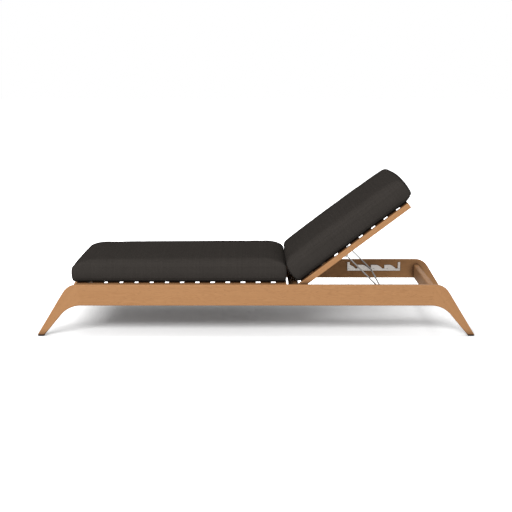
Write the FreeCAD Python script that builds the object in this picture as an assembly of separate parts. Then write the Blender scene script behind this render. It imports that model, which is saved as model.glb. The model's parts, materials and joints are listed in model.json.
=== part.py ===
import FreeCAD, Part
import math
import os

# Slatted timber sun lounger with an adjustable backrest, a prop bail on toothed racks and two cushions.
# Millimetres and degrees. X runs from the foot end to the head end, Z is up, and the origin lies on the
# floor in the middle of the four feet. Left is -Y and right is +Y, as seen by the person lying down.

V = FreeCAD.Vector
UP = V(0, 0, 1)
ALONG = V(1, 0, 0)
ACROSS = V(0, 1, 0)
ORIGIN = V(0, 0, 0)

# Side frames: a rail with a splayed leg at each end
FRAME_WIDTH = 700.0
RAIL_TOP = 249.0
RAIL_HEIGHT = 100.0
RAIL_THICK = 26.0
OUTER_SLOPE = 58.6
INNER_SLOPE = 49.9
OUTER_BEND = 77.0
INNER_BEND = 124.0
FOOT_LENGTH = 34.0
CORNER_MARGIN = 26.5
EDGE_ROUND = 4.0

# Glides under the feet
GLIDE_THICK = 6.0
GLIDE_INSET = 3.0
GLIDE_ROUND = 4.0

# Slatted panels: both have the same rails and slats
SEAT_PANEL = 1007.0
BACK_PANEL = 701.0
PANEL_GAP = 8.6
PANEL_DEPTH = 26.0
PANEL_RAIL = 26.0
SIDE_GAP = 5.0
SLAT_WIDTH = 51.5
END_SLAT_WIDTH = 41.3
HINGE_SLAT_WIDTH = 49.3
SLAT_THICK = 14.0
SLAT_ROUND = 2.0
SEAT_SLATS = 14
BACK_SLATS = 10
TENON_SHOULDER = 8.0
TENON_THICK = 7.0
TENON_LENGTH = 13.0

# Cross rails that tie the side frames and carry the panels
CROSS_THICK = 28.0
CROSS_ROUND = 8.0
FOOT_OVERLAP = 17.5
HEAD_OVERLAP = 13.0
MIDDLE_INSET = 8.0
KEY_THICK = 10.0
KEY_HEIGHT = 34.0
KEY_DEPTH = 18.0

# Dowels in the corners between rail and leg
DOWEL_RADIUS = 4.0
DOWEL_HALF = 25.0
DOWEL_SHARES = (0.12, 0.78)

# Backrest hinge
HINGE_SETBACK = 55.0
REST_ANGLE = 37.2
HINGE_RADIUS = 4.0
HINGE_HEAD_RADIUS = 5.4
HINGE_HEAD = 4.0
HINGE_SOCKET = 2.5
HINGE_GRIP = 14.0
BUSH_WALL = 2.0
INSERT_RADIUS = 7.0
INSERT_LENGTH = 16.0
WASHER_RADIUS = 9.0

# Prop bail, its brackets and pins
PIVOT_ALONG = 264.8
PIVOT_DROP = 7.0
PROP_LENGTH = 250.0
LEG_RADIUS = 3.5
BAR_RADIUS = 4.0
BAR_CLEAR = 1.0
EYE_WALL = 5.0
PIN_RADIUS = 3.0
PIN_HEAD_RADIUS = 5.0
PIN_HEAD = 2.0
BRACKET_THICK = 2.5
BRACKET_HALF = 22.0
BRACKET_ROUND = 8.0
BRACKET_TOP_GAP = 0.5
BRACKET_SCREW_OFFSET = 14.0

# Toothed racks on the side rails
RACK_THICK = 4.0
RACK_RISE = 40.4
RACK_BASE = 11.0
TOOTH_HEIGHT = 20.0
UPRIGHT_HEIGHT = 46.0
UPRIGHT_WIDTH = 12.5
NOTCH_FLOOR = 10.8
RAMP_LENGTH = 31.0
RAMP_BULGE = 2.6
TOOTH_FLAT = 30.0
NOTCH_COUNT = 4
REST_NOTCH = 2

# Wood screws
SCREW_RADIUS = 2.5
SCREW_HEAD_RADIUS = 4.5
SCREW_HEAD = 2.5
SCREW_GRIP = 18.0
SPACER_RADIUS = 8.0
PANEL_SCREW_SLATS = (2, 6, 10, 13)
SMALL_SCREW_RADIUS = 1.75
SMALL_HEAD_RADIUS = 3.5
SMALL_HEAD = 2.0
SMALL_SCREW_GRIP = 14.0

# Cushions
CUSHION_SIDE_INSET = 17.0
CUSHION_TOP_ROUND = 42.0
CUSHION_BASE_ROUND = 36.0
CUSHION_DRAW_IN = 6.0
CUSHION_END_SHARE = 0.2
SEAT_CUSHION_OVERHANG = 17.0
SEAT_CUSHION_SETBACK = 7.0
SEAT_CUSHION_EDGE = 98.0
SEAT_CUSHION_CROWN = 10.0
BACK_CUSHION_START = 1.5
BACK_CUSHION_OVERHANG = 46.0
BACK_CUSHION_EDGE = 106.0
BACK_CUSHION_CROWN = 13.0
CROWN_RISE_SHARES = (0.0, 0.55, 0.85, 1.0, 0.85, 0.55, 0.0)
ROUND_SHARES = (0.0, 0.25, 0.5, 0.75, 1.0)

# Clearances and overrun
REST_CLEAR = 0.3
FIT_CLEAR = 0.1
RUN_CLEAR = 0.05
THRUST_CLEAR = 0.2
OVERRUN = 5.0

# Places worked out from the sizes above
HALF_WIDTH = FRAME_WIDTH / 2
RAIL_INNER = HALF_WIDTH - RAIL_THICK
RAIL_MIDDLE = HALF_WIDTH - RAIL_THICK / 2
RAIL_BOTTOM = RAIL_TOP - RAIL_HEIGHT
PANEL_OUTER = RAIL_INNER - SIDE_GAP
PANEL_INNER = PANEL_OUTER - PANEL_RAIL
PANEL_BOTTOM = RAIL_TOP - PANEL_DEPTH
CROSS_TOP = PANEL_BOTTOM - REST_CLEAR
CROSS_SPAN = SEAT_PANEL + PANEL_GAP + BACK_PANEL - FOOT_OVERLAP - HEAD_OVERLAP
CROSS_INNER = CROSS_SPAN / 2
CROSS_OUTER = CROSS_INNER + CROSS_THICK
SEAT_START = -CROSS_INNER - FOOT_OVERLAP
SEAT_END = SEAT_START + SEAT_PANEL
BACK_START = SEAT_END + PANEL_GAP
BACK_END = BACK_START + BACK_PANEL
HINGE_X = BACK_START + HINGE_SETBACK
HINGE_Z = RAIL_TOP - PANEL_DEPTH / 2
HINGE = V(HINGE_X, 0, HINGE_Z)
SEAT_GAP = (SEAT_PANEL - SEAT_SLATS * SLAT_WIDTH) / (SEAT_SLATS - 1)
BACK_INNER_SLATS = BACK_SLATS - 2
BACK_SLAT_TOTAL = BACK_INNER_SLATS * SLAT_WIDTH + HINGE_SLAT_WIDTH + END_SLAT_WIDTH
BACK_GAP = (BACK_PANEL - BACK_SLAT_TOTAL) / (BACK_SLATS - 1)
MIDDLE_END = SEAT_END - MIDDLE_INSET
PIVOT_X = HINGE_X + PIVOT_ALONG
PIVOT_Z = PANEL_BOTTOM - PIVOT_DROP
PIVOT = V(PIVOT_X, 0, PIVOT_Z)
RACK_BOTTOM = RAIL_BOTTOM + RACK_RISE
RACK_INNER = RAIL_INNER - RACK_THICK
NOTCH_Z = RACK_BOTTOM + RACK_BASE
NOTCH_PITCH = NOTCH_FLOOR + RAMP_LENGTH + TOOTH_FLAT
BAR_Z = NOTCH_Z + BAR_RADIUS
BAR_END = RACK_INNER - BAR_CLEAR
EYE_OUTER = PANEL_INNER - BRACKET_THICK - THRUST_CLEAR
EYE_INNER = EYE_OUTER - 2 * LEG_RADIUS


def box(x0, x1, y0, y1, z0, z1):
    """A block between two corners."""
    return Part.makeBox(x1 - x0, y1 - y0, z1 - z0, V(x0, y0, z0))


def rod_across(x, z, radius, y0, y1):
    """A round rod along Y."""
    return Part.makeCylinder(radius, y1 - y0, V(x, y0, z), ACROSS)


def rod_along(y, z, radius, x0, x1):
    """A round rod along X."""
    return Part.makeCylinder(radius, x1 - x0, V(x0, y, z), ALONG)


def tube_across(x, z, outer, inner, y0, y1):
    """A round sleeve along Y."""
    bore = rod_across(x, z, inner, y0 - OVERRUN, y1 + OVERRUN)
    return rod_across(x, z, outer, y0, y1).cut(bore)


def mirrored(shape):
    """The same piece on the left side."""
    return shape.mirror(ORIGIN, ACROSS)


def head_to_foot(shape):
    """The same piece at the foot end."""
    return shape.mirror(ORIGIN, ALONG)


def group(shapes):
    """Separate solids that share one node."""
    return Part.makeCompound(shapes)


def rounded(shape, radius, direction):
    """Rounds the edges that run along one axis."""
    edges = []
    for edge in shape.Edges:
        start = edge.firstVertex().Point
        end = edge.lastVertex().Point
        run = end.sub(start)
        if run.Length > 0 and abs(run.dot(direction)) > (1 - 1e-6) * run.Length:
            edges.append(edge)
    return shape.makeFillet(radius, edges)


def to_rest(shape):
    """Raises a backrest piece from the flat position to the position that the model rests in."""
    turned = shape.copy()
    turned.rotate(HINGE, -ACROSS, REST_ANGLE)
    return turned


def pivot_at_rest():
    """Where the pin of the bail stands when the backrest is at rest."""
    angle = math.radians(REST_ANGLE)
    along = PIVOT_X - HINGE_X
    above = PIVOT_Z - HINGE_Z
    x = HINGE_X + along * math.cos(angle) - above * math.sin(angle)
    z = HINGE_Z + along * math.sin(angle) + above * math.cos(angle)
    return x, z


def bail_slope():
    """How steeply the bail stands at rest, below the horizontal."""
    return math.degrees(math.asin((pivot_at_rest()[1] - BAR_Z) / PROP_LENGTH))


def bar_at_rest():
    """X of the foot bar, which lies in the rest notch."""
    return pivot_at_rest()[0] + PROP_LENGTH * math.cos(math.radians(bail_slope()))


def bend(corner, incoming, outgoing, radius):
    """Start, middle and end of an arc that rounds a corner between two unit directions."""
    turn = math.acos(incoming.dot(outgoing))
    setback = radius * math.tan(turn / 2)
    start = corner.sub(incoming * setback)
    end = corner.add(outgoing * setback)
    inward = outgoing.sub(incoming)
    inward.normalize()
    centre = corner.add(inward * (radius / math.cos(turn / 2)))
    middle = centre.sub(inward * radius)
    return start, middle, end


def leg_outline():
    """Corners of the head end's leg in the plane Y = 0."""
    outer = math.radians(OUTER_SLOPE)
    inner = math.radians(INNER_SLOPE)
    outer_run = V(math.cos(outer), 0, -math.sin(outer))
    inner_run = V(math.cos(inner), 0, -math.sin(inner))
    top_corner = V(CROSS_OUTER + CORNER_MARGIN, 0, RAIL_TOP)
    toe = top_corner.add(outer_run * ((RAIL_TOP - GLIDE_THICK) / math.sin(outer)))
    heel = toe.sub(ALONG * FOOT_LENGTH)
    low_corner = heel.sub(inner_run * ((RAIL_BOTTOM - GLIDE_THICK) / math.sin(inner)))
    top = bend(top_corner, ALONG, outer_run, OUTER_BEND)
    low = bend(low_corner, ALONG, inner_run, INNER_BEND)
    return top, toe, heel, low


def leg():
    """The right leg at the head end, from the corner seam down to the foot."""
    top, toe, heel, low = leg_outline()
    edges = [
        Part.makeLine(low[0], top[0]),
        Part.Arc(top[0], top[1], top[2]).toShape(),
        Part.makeLine(top[2], toe),
        Part.makeLine(toe, heel),
        Part.makeLine(heel, low[2]),
        Part.Arc(low[2], low[1], low[0]).toShape(),
    ]
    face = Part.Face(Part.Wire(edges))
    solid = face.extrude(ACROSS * RAIL_THICK)
    solid.translate(ACROSS * RAIL_INNER)
    seam = top[0].sub(low[0])
    seam.normalize()
    long_edges = []
    for edge in solid.Edges:
        run = edge.lastVertex().Point.sub(edge.firstVertex().Point)
        run.normalize()
        crosses = abs(run.dot(ACROSS)) > 0.5
        on_seam = abs(run.dot(seam)) > 1 - 1e-6
        if not crosses and not on_seam:
            long_edges.append(edge)
    return solid.makeFillet(EDGE_ROUND, long_edges)


def side_rail():
    """The right side rail between its two corner seams."""
    top, toe, heel, low = leg_outline()
    corners = [low[0], top[0], V(-top[0].x, 0, top[0].z), V(-low[0].x, 0, low[0].z), low[0]]
    solid = Part.Face(Part.makePolygon(corners)).extrude(ACROSS * RAIL_THICK)
    solid.translate(ACROSS * RAIL_INNER)
    return rounded(solid, EDGE_ROUND, ALONG)


def dowel_places():
    """X and Z of the dowels in the head end's right corner."""
    top, toe, heel, low = leg_outline()
    places = []
    for share in DOWEL_SHARES:
        x = low[0].x + share * (top[0].x - low[0].x)
        places.append((x, RAIL_BOTTOM + share * RAIL_HEIGHT))
    return places


def corner_dowels(radius, half):
    """Dowels of the head end's right corner, or their holes with a larger size."""
    return [rod_along(RAIL_MIDDLE, z, radius, x - half, x + half) for x, z in dowel_places()]


def cross_rail(x0):
    """A cross rail whose foot-side face stands at x0."""
    x1 = x0 + CROSS_THICK
    solid = box(x0, x1, -RAIL_INNER, RAIL_INNER, RAIL_BOTTOM, CROSS_TOP)
    solid = rounded(solid, CROSS_ROUND, ACROSS)
    for key in cross_keys(x0, FIT_CLEAR):
        solid = solid.cut(key)
    return solid


def cross_keys(x0, spare):
    """The loose tenons of one cross rail, or their mortises with some spare all round."""
    middle_x = x0 + CROSS_THICK / 2
    middle_z = (RAIL_BOTTOM + CROSS_TOP) / 2
    half_x = KEY_THICK / 2 + spare
    half_z = KEY_HEIGHT / 2 + spare
    reach = KEY_DEPTH + spare
    keys = []
    for side in (-RAIL_INNER, RAIL_INNER):
        x_span = (middle_x - half_x, middle_x + half_x)
        y_span = (side - reach, side + reach)
        keys.append(box(*x_span, *y_span, middle_z - half_z, middle_z + half_z))
    return keys


def cross_places():
    """Foot-side face of each cross rail, by name."""
    return {
        "foot_cross_rail": -CROSS_OUTER,
        "middle_cross_rail": MIDDLE_END - CROSS_THICK,
        "head_cross_rail": CROSS_INNER,
    }


def slat_spans(start, widths, gap):
    """Both edges of every slat in a panel that begins at start."""
    spans = []
    edge = start
    for width in widths:
        spans.append((edge, edge + width))
        edge += width + gap
    return spans


def seat_spans():
    return slat_spans(SEAT_START, [SLAT_WIDTH] * SEAT_SLATS, SEAT_GAP)


def back_spans():
    widths = [HINGE_SLAT_WIDTH] + [SLAT_WIDTH] * BACK_INNER_SLATS + [END_SLAT_WIDTH]
    return slat_spans(BACK_START, widths, BACK_GAP)


def tenon(span, spare):
    """The bar that forms both end tenons of a slat, or their mortises with some spare all round."""
    x0 = span[0] + TENON_SHOULDER - spare
    x1 = span[1] - TENON_SHOULDER + spare
    half = PANEL_INNER + TENON_LENGTH + spare
    middle_z = RAIL_TOP - SLAT_THICK / 2
    half_z = TENON_THICK / 2 + spare
    return box(x0, x1, -half, half, middle_z - half_z, middle_z + half_z)


def slat(span):
    """A slat that fits between the panel's rails, flush with their tops."""
    body = box(span[0], span[1], -PANEL_INNER, PANEL_INNER, RAIL_TOP - SLAT_THICK, RAIL_TOP)
    body = rounded(body, SLAT_ROUND, ACROSS)
    return body.fuse(tenon(span, 0)).removeSplitter()


def panel_rail(x0, x1, spans):
    """The right rail of a panel, with a mortise for each slat."""
    rail = box(x0, x1, PANEL_INNER, PANEL_OUTER, PANEL_BOTTOM, RAIL_TOP)
    rail = rounded(rail, SLAT_ROUND, ALONG)
    mortises = group([tenon(span, FIT_CLEAR) for span in spans])
    return rail.cut(mortises)


def panel_screw_places():
    """X of the screws that hold the seat panel, each in the gap after one of the slats."""
    spans = seat_spans()
    return [(spans[i - 1][1] + spans[i][0]) / 2 for i in PANEL_SCREW_SLATS]


def screw_across(x, z, shank, head, head_height, under_head, tip):
    """A round-headed screw along Y, with its head on the inner side and a cross slot in it."""
    solid = rod_across(x, z, shank, under_head, tip)
    cap = rod_across(x, z, head, under_head - head_height, under_head)
    solid = solid.fuse(cap)
    half_slot = head_height / 4
    depth = under_head - head_height / 2
    reach = head / 2
    y_span = (under_head - head_height - OVERRUN, depth)
    solid = solid.cut(box(x - reach, x + reach, *y_span, z - half_slot, z + half_slot))
    solid = solid.cut(box(x - half_slot, x + half_slot, *y_span, z - reach, z + reach))
    return solid


def flush_screw(x, z, face, tip):
    """A countersunk screw along Y whose head lies flush in a plate's face, with a cross slot in it."""
    cone = Part.makeCone(SMALL_HEAD_RADIUS, SMALL_SCREW_RADIUS, SMALL_HEAD, V(x, face, z), ACROSS)
    solid = rod_across(x, z, SMALL_SCREW_RADIUS, face, tip).fuse(cone)
    half_slot = SMALL_HEAD / 4
    depth = face + SMALL_HEAD / 2
    reach = SMALL_HEAD_RADIUS / 2
    y_span = (face - OVERRUN, depth)
    solid = solid.cut(box(x - reach, x + reach, *y_span, z - half_slot, z + half_slot))
    solid = solid.cut(box(x - half_slot, x + half_slot, *y_span, z - reach, z + reach))
    return solid


def flush_hole(x, z, face):
    """The countersunk hole of a flush screw through a plate."""
    large = SMALL_HEAD_RADIUS + FIT_CLEAR
    small = SMALL_SCREW_RADIUS + FIT_CLEAR
    cone = Part.makeCone(large, small, SMALL_HEAD, V(x, face, z), ACROSS)
    hole = rod_across(x, z, small, face - OVERRUN, face + RACK_THICK + OVERRUN)
    return hole.fuse(cone)


def panel_screws():
    """Screws through the seat panel's right rail into the side rail."""
    sizes = (SCREW_RADIUS, SCREW_HEAD_RADIUS, SCREW_HEAD)
    tip = RAIL_INNER + SCREW_GRIP
    return [screw_across(x, HINGE_Z, *sizes, PANEL_INNER, tip) for x in panel_screw_places()]


def panel_spacers():
    """Rings that keep the seat panel's right rail off the side rail."""
    bore = SCREW_RADIUS + FIT_CLEAR
    places = panel_screw_places()
    return [tube_across(x, HINGE_Z, SPACER_RADIUS, bore, PANEL_OUTER, RAIL_INNER) for x in places]


def hinge_bolt():
    """The right pivot bolt: its head lies inside the backrest rail and its end in the side rail."""
    under_head = PANEL_INNER - THRUST_CLEAR
    shank = rod_across(HINGE_X, HINGE_Z, HINGE_RADIUS, under_head, RAIL_INNER + HINGE_GRIP)
    cap = rod_across(HINGE_X, HINGE_Z, HINGE_HEAD_RADIUS, under_head - HINGE_HEAD, under_head)
    socket = hexagon_across(HINGE_X, HINGE_Z, HINGE_SOCKET, under_head - HINGE_HEAD - OVERRUN,
                            under_head - HINGE_HEAD / 2)
    return shank.fuse(cap).cut(socket)


def hexagon_across(x, z, radius, y0, y1):
    """A hexagonal bar along Y."""
    corners = []
    for i in range(7):
        angle = math.radians(60 * i)
        corners.append(V(x + radius * math.cos(angle), y0, z + radius * math.sin(angle)))
    return Part.Face(Part.makePolygon(corners)).extrude(ACROSS * (y1 - y0))


def hinge_bush():
    """The sleeve in the right backrest rail that turns on the pivot bolt."""
    return tube_across(HINGE_X, HINGE_Z, HINGE_RADIUS + BUSH_WALL, HINGE_RADIUS + RUN_CLEAR,
                       PANEL_INNER, PANEL_OUTER)


def hinge_washer():
    """The ring between the right backrest rail and the side rail."""
    return tube_across(HINGE_X, HINGE_Z, WASHER_RADIUS, HINGE_RADIUS + RUN_CLEAR,
                       PANEL_OUTER + THRUST_CLEAR, RAIL_INNER)


def hinge_insert():
    """The sleeve in the right side rail that takes the bolt's end."""
    return tube_across(HINGE_X, HINGE_Z, INSERT_RADIUS, HINGE_RADIUS + RUN_CLEAR,
                       RAIL_INNER, RAIL_INNER + INSERT_LENGTH)


def rack_walls():
    """X of the upright wall that stops the bar in each notch, from the highest backrest to the lowest."""
    rest_wall = bar_at_rest() + BAR_RADIUS + REST_CLEAR
    return [rest_wall + (i + 1 - REST_NOTCH) * NOTCH_PITCH for i in range(NOTCH_COUNT)]


def rack_screw_places():
    """X and Z of the screws in a rack: one in each upright and one in each tooth."""
    walls = rack_walls()
    z = NOTCH_Z
    left = walls[0] - NOTCH_FLOOR - RAMP_LENGTH - UPRIGHT_WIDTH / 2
    right = walls[-1] + UPRIGHT_WIDTH / 2
    teeth = [wall + TOOTH_FLAT / 2 for wall in walls[:-1]]
    return [(x, z) for x in [left] + teeth + [right]]


def line_through(points):
    """Straight edges from point to point in the rack's inner face."""
    corners = [V(x, RACK_INNER, z) for x, z in points]
    edges = []
    for i in range(len(corners) - 1):
        edges.append(Part.makeLine(corners[i], corners[i + 1]))
    return edges


def ramp(floor_start):
    """The bulging ramp from a notch's floor up to the tooth on its foot side."""
    length = math.hypot(RAMP_LENGTH, TOOTH_HEIGHT)
    x = floor_start - RAMP_LENGTH / 2 + RAMP_BULGE * TOOTH_HEIGHT / length
    z = NOTCH_Z + TOOTH_HEIGHT / 2 + RAMP_BULGE * RAMP_LENGTH / length
    start = V(floor_start, RACK_INNER, NOTCH_Z)
    end = V(floor_start - RAMP_LENGTH, RACK_INNER, NOTCH_Z + TOOTH_HEIGHT)
    return Part.Arc(start, V(x, RACK_INNER, z), end).toShape()


def rack():
    """The right rack: notches with a ramp on the foot side and an upright wall on the head side."""
    walls = rack_walls()
    low = RACK_BOTTOM
    high = RACK_BOTTOM + UPRIGHT_HEIGHT
    tooth = NOTCH_Z + TOOTH_HEIGHT
    right = walls[-1] + UPRIGHT_WIDTH
    edges = line_through([(right, low), (right, high), (walls[-1], high)])
    top = high
    for i in reversed(range(NOTCH_COUNT)):
        floor_start = walls[i] - NOTCH_FLOOR
        edges += line_through([(walls[i], top), (walls[i], NOTCH_Z), (floor_start, NOTCH_Z)])
        edges.append(ramp(floor_start))
        if i > 0:
            edges += line_through([(floor_start - RAMP_LENGTH, tooth), (walls[i - 1], tooth)])
        top = tooth
    left_inner = walls[0] - NOTCH_FLOOR - RAMP_LENGTH
    left = left_inner - UPRIGHT_WIDTH
    edges += line_through([(left_inner, tooth), (left_inner, high), (left, high), (left, low), (right, low)])
    plate = Part.Face(Part.Wire(edges)).extrude(ACROSS * RACK_THICK)
    for x, z in rack_screw_places():
        plate = plate.cut(flush_hole(x, z, RACK_INNER))
    return plate


def rack_screws():
    """Screws of the right rack, flush so that the bail can pass."""
    tip = RAIL_INNER + SMALL_SCREW_GRIP
    return [flush_screw(x, z, RACK_INNER, tip) for x, z in rack_screw_places()]


def bracket_screw_places():
    """X and Z of the screws of the right bracket, in the flat position."""
    top = RAIL_TOP - SLAT_THICK - BRACKET_TOP_GAP
    z = (top + PANEL_BOTTOM) / 2
    return [(PIVOT_X - BRACKET_SCREW_OFFSET, z), (PIVOT_X + BRACKET_SCREW_OFFSET, z)]


def bracket():
    """The right bracket: a plate on the backrest rail's inner face that hangs below it."""
    top = RAIL_TOP - SLAT_THICK - BRACKET_TOP_GAP
    y0 = PANEL_INNER - BRACKET_THICK
    left = V(PIVOT_X - BRACKET_HALF, y0, top)
    right = V(PIVOT_X + BRACKET_HALF, y0, top)
    right_low = V(PIVOT_X + BRACKET_HALF, y0, PANEL_BOTTOM)
    left_low = V(PIVOT_X - BRACKET_HALF, y0, PANEL_BOTTOM)
    start = V(PIVOT_X + BRACKET_ROUND, y0, PIVOT_Z)
    lowest = V(PIVOT_X, y0, PIVOT_Z - BRACKET_ROUND)
    end = V(PIVOT_X - BRACKET_ROUND, y0, PIVOT_Z)
    edges = [
        Part.makeLine(left, right),
        Part.makeLine(right, right_low),
        Part.makeLine(right_low, start),
        Part.Arc(start, lowest, end).toShape(),
        Part.makeLine(end, left_low),
        Part.makeLine(left_low, left),
    ]
    plate = Part.Face(Part.Wire(edges)).extrude(ACROSS * BRACKET_THICK)
    y_span = (y0 - OVERRUN, PANEL_INNER + OVERRUN)
    plate = plate.cut(rod_across(PIVOT_X, PIVOT_Z, PIN_RADIUS + FIT_CLEAR, *y_span))
    for x, z in bracket_screw_places():
        plate = plate.cut(rod_across(x, z, SMALL_SCREW_RADIUS + FIT_CLEAR, *y_span))
    return plate


def bracket_screws():
    """Screws of the right bracket."""
    sizes = (SMALL_SCREW_RADIUS, SMALL_HEAD_RADIUS, SMALL_HEAD)
    under_head = PANEL_INNER - BRACKET_THICK
    tip = PANEL_INNER + SMALL_SCREW_GRIP
    return [screw_across(x, z, *sizes, under_head, tip) for x, z in bracket_screw_places()]


def prop_pin():
    """The right pin: it holds the bail's eye to the bracket with a head at each end."""
    inner = EYE_INNER - THRUST_CLEAR
    shank = rod_across(PIVOT_X, PIVOT_Z, PIN_RADIUS, inner, PANEL_INNER)
    inner_head = rod_across(PIVOT_X, PIVOT_Z, PIN_HEAD_RADIUS, inner - PIN_HEAD, inner)
    outer_head = rod_across(PIVOT_X, PIVOT_Z, PIN_HEAD_RADIUS, PANEL_INNER, PANEL_INNER + PIN_HEAD)
    return shank.fuse([inner_head, outer_head])


def prop_leg():
    """The right leg of the bail, lying flat: an eye on the pin and a rod to the foot bar."""
    bore = PIN_RADIUS + RUN_CLEAR
    middle = (EYE_INNER + EYE_OUTER) / 2
    eye = rod_across(PIVOT_X, PIVOT_Z, bore + EYE_WALL, EYE_INNER, EYE_OUTER)
    rod = rod_along(middle, PIVOT_Z, LEG_RADIUS, PIVOT_X, PIVOT_X + PROP_LENGTH)
    hole = rod_across(PIVOT_X, PIVOT_Z, bore, EYE_INNER - OVERRUN, EYE_OUTER + OVERRUN)
    return eye.fuse(rod).cut(hole).cut(prop_bar())


def prop_bar():
    """The bail's foot bar, lying flat."""
    return rod_across(PIVOT_X + PROP_LENGTH, PIVOT_Z, BAR_RADIUS, -BAR_END, BAR_END)


def swung(shape):
    """Swings a bail piece about its pin from lying flat to its slope at rest, then up with the backrest."""
    turned = shape.copy()
    turned.rotate(PIVOT, -ACROSS, -REST_ANGLE - bail_slope())
    return to_rest(turned)


def glide():
    """The pad under the right foot at the head end."""
    top, toe, heel, low = leg_outline()
    y_span = (RAIL_INNER + GLIDE_INSET, HALF_WIDTH - GLIDE_INSET)
    pad = box(heel.x + GLIDE_INSET, toe.x - GLIDE_INSET, *y_span, 0, GLIDE_THICK)
    return rounded(pad, GLIDE_ROUND, UP)


def glide_screw():
    """The countersunk screw that holds the right glide at the head end."""
    top, toe, heel, low = leg_outline()
    x = (toe.x + heel.x) / 2
    base = V(x, RAIL_MIDDLE, GLIDE_THICK / 3)
    cone = Part.makeCone(SMALL_HEAD_RADIUS, SMALL_SCREW_RADIUS, SMALL_HEAD, base, UP)
    shank = Part.makeCylinder(SMALL_SCREW_RADIUS, GLIDE_THICK + SMALL_SCREW_GRIP, base, UP)
    return cone.fuse(shank)


def glide_screw_hole():
    """Room for the glide's screw, down to the pad's underside."""
    top, toe, heel, low = leg_outline()
    base = V((toe.x + heel.x) / 2, RAIL_MIDDLE, 0)
    depth = GLIDE_THICK / 3 + SMALL_HEAD
    length = GLIDE_THICK * 2 + SMALL_SCREW_GRIP
    well = Part.makeCylinder(SMALL_HEAD_RADIUS + FIT_CLEAR, depth, base, UP)
    shank = Part.makeCylinder(SMALL_SCREW_RADIUS + FIT_CLEAR, length, base, UP)
    return well.fuse(shank)


def cushion_section(x, half, low, high, crown, base_round, top_round):
    """One cross-section of a cushion: flat base, round corners, and a top that rises in the middle."""
    points = [
        V(x, -half + base_round, low),
        V(x, half - base_round, low),
        V(x, half, low + base_round),
        V(x, half, high - top_round),
        V(x, half - top_round, high),
        V(x, -half + top_round, high),
        V(x, -half, high - top_round),
        V(x, -half, low + base_round),
    ]
    lean = 1 - math.sqrt(0.5)
    arcs = {
        1: V(x, half - lean * base_round, low + lean * base_round),
        3: V(x, half - lean * top_round, high - lean * top_round),
        4: V(x, 0, high + crown),
        5: V(x, -half + lean * top_round, high - lean * top_round),
        7: V(x, -half + lean * base_round, low + lean * base_round),
    }
    edges = []
    for i in range(8):
        start = points[i]
        end = points[(i + 1) % 8]
        if i in arcs:
            edges.append(Part.Arc(start, arcs[i], end).toShape())
        else:
            edges.append(Part.makeLine(start, end))
    return Part.Wire(edges)


def cushion(x0, x1, low, edge, crown):
    """A crowned cushion with rounded ends and sides that draw in between the corners."""
    half = PANEL_OUTER + SIDE_GAP - CUSHION_SIDE_INSET
    end_round = []
    for share in ROUND_SHARES:
        angle = share * math.pi / 2
        step = CUSHION_TOP_ROUND * (1 - math.cos(angle))
        end_round.append((step, CUSHION_TOP_ROUND * (1 - math.sin(angle))))
    stations = [(x0 + step, shrink) for step, shrink in end_round]
    inner_start = x0 + CUSHION_TOP_ROUND
    inner_end = x1 - CUSHION_TOP_ROUND
    for i in range(1, len(CROWN_RISE_SHARES) - 1):
        share = i / (len(CROWN_RISE_SHARES) - 1)
        stations.append((inner_start + share * (inner_end - inner_start), 0))
    stations += [(x1 - step, shrink) for step, shrink in reversed(end_round)]
    ends = len(ROUND_SHARES) - 1
    wires = []
    for i, (x, shrink) in enumerate(stations):
        place = min(max(i - ends, 0), len(CROWN_RISE_SHARES) - 1)
        rise = CROWN_RISE_SHARES[place]
        roundness = 1 - (1 - CUSHION_END_SHARE) * shrink / CUSHION_TOP_ROUND
        drawn = shrink + CUSHION_DRAW_IN * rise
        base = low + shrink * CUSHION_BASE_ROUND / CUSHION_TOP_ROUND
        top = low + edge - shrink + crown * rise / 3
        top_crown = crown * (1 + rise) / 3
        corner = (CUSHION_BASE_ROUND * roundness, CUSHION_TOP_ROUND * roundness)
        wires.append(cushion_section(x, half - drawn, base, top, top_crown, *corner))
    return Part.makeLoft(wires, True, True)


def seat_cushion():
    x0 = SEAT_START - SEAT_CUSHION_OVERHANG
    x1 = SEAT_END - SEAT_CUSHION_SETBACK
    return cushion(x0, x1, RAIL_TOP + REST_CLEAR, SEAT_CUSHION_EDGE, SEAT_CUSHION_CROWN)


def back_cushion():
    x0 = HINGE_X + BACK_CUSHION_START
    x1 = BACK_END + BACK_CUSHION_OVERHANG
    return to_rest(cushion(x0, x1, RAIL_TOP + REST_CLEAR, BACK_CUSHION_EDGE, BACK_CUSHION_CROWN))


def both_sides(shapes):
    """Right-hand pieces together with their left-hand twins."""
    return group(shapes + [mirrored(shape) for shape in shapes])


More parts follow.
